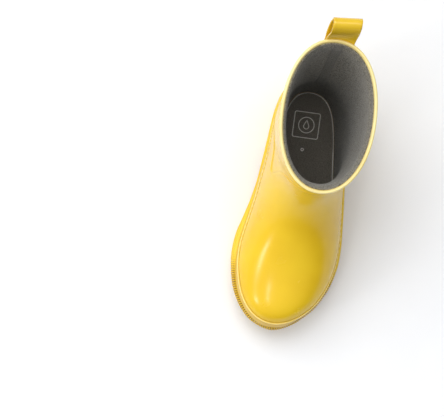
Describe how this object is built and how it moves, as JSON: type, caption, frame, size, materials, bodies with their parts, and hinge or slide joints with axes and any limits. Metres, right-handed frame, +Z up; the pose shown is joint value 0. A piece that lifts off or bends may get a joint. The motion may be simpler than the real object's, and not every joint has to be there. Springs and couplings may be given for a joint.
{
  "type": "rubber rain boot",
  "caption": "Toddler pull-on rain boot for the left foot: rubber upper with V seam, toothed sole, knit lining, loose footbed and a pull loop at the back.",
  "frame": {"origin": "centre of the boot's footprint box, on the ground plane that the tread stands on", "axes": "+Z up, the toe points along -Y, +X is the lateral (outer) side of this left boot"},
  "size_m": [0.0772, 0.2156, 0.1852],
  "materials": {
    "yellow_rubber": "glossy vulcanised rubber",
    "sole_rubber": "satin moulded rubber",
    "strap_rubber": "glossy rubber-coated tape",
    "lining_knit": "matte knitted lining",
    "lining_tape": "matte woven tape",
    "footbed_fabric": "matte knit cover",
    "footbed_foam": "matte closed-cell foam",
    "label_print": "matte heat-transfer print",
    "board": "raw fibre board",
    "sponge": "sponge rubber",
    "stiffener": "resin-filled sheet",
    "shank_steel": "spring steel"
  },
  "bodies": {
    "boot": {"vamp_shell": "yellow_rubber", "heel_shell": "yellow_rubber", "outsole": "sole_rubber", "heel_core": "sponge", "bottom_filler": "sponge", "shank": "shank_steel", "insole_board": "board", "leg_shaft": "yellow_rubber", "toe_puff": "stiffener", "counter_stiffener": "stiffener", "foxing_strip": "yellow_rubber", "foot_overlay": "yellow_rubber", "back_stay": "yellow_rubber", "welt_bead": "sole_rubber", "top_binding": "yellow_rubber", "leg_lining": "lining_knit", "foot_lining": "lining_knit", "lining_seam_tape": "lining_tape", "loop_tail_inner": "strap_rubber", "loop_tail_outer": "strap_rubber"},
    "strap_loop": {"pull_loop": "strap_rubber"},
    "footbed": {"footbed_foam": "footbed_foam", "footbed_cover": "footbed_fabric", "footbed_label": "label_print"}
  },
  "joints": [
    {"name": "loop_fold", "type": "hinge", "parent": "boot", "child": "strap_loop", "pos_m": [0.00079, 0.09443, 0.1682], "axis": [1, 0, 0], "range_deg": [-25, 60], "stiffness_Nm_per_rad": 0.02},
    {"name": "footbed_lift", "type": "hinge", "parent": "boot", "child": "footbed", "pos_m": [-0.00321, -0.10277, 0.0234], "axis": [1, 0, 0], "range_deg": [0, 8]}
  ]
}
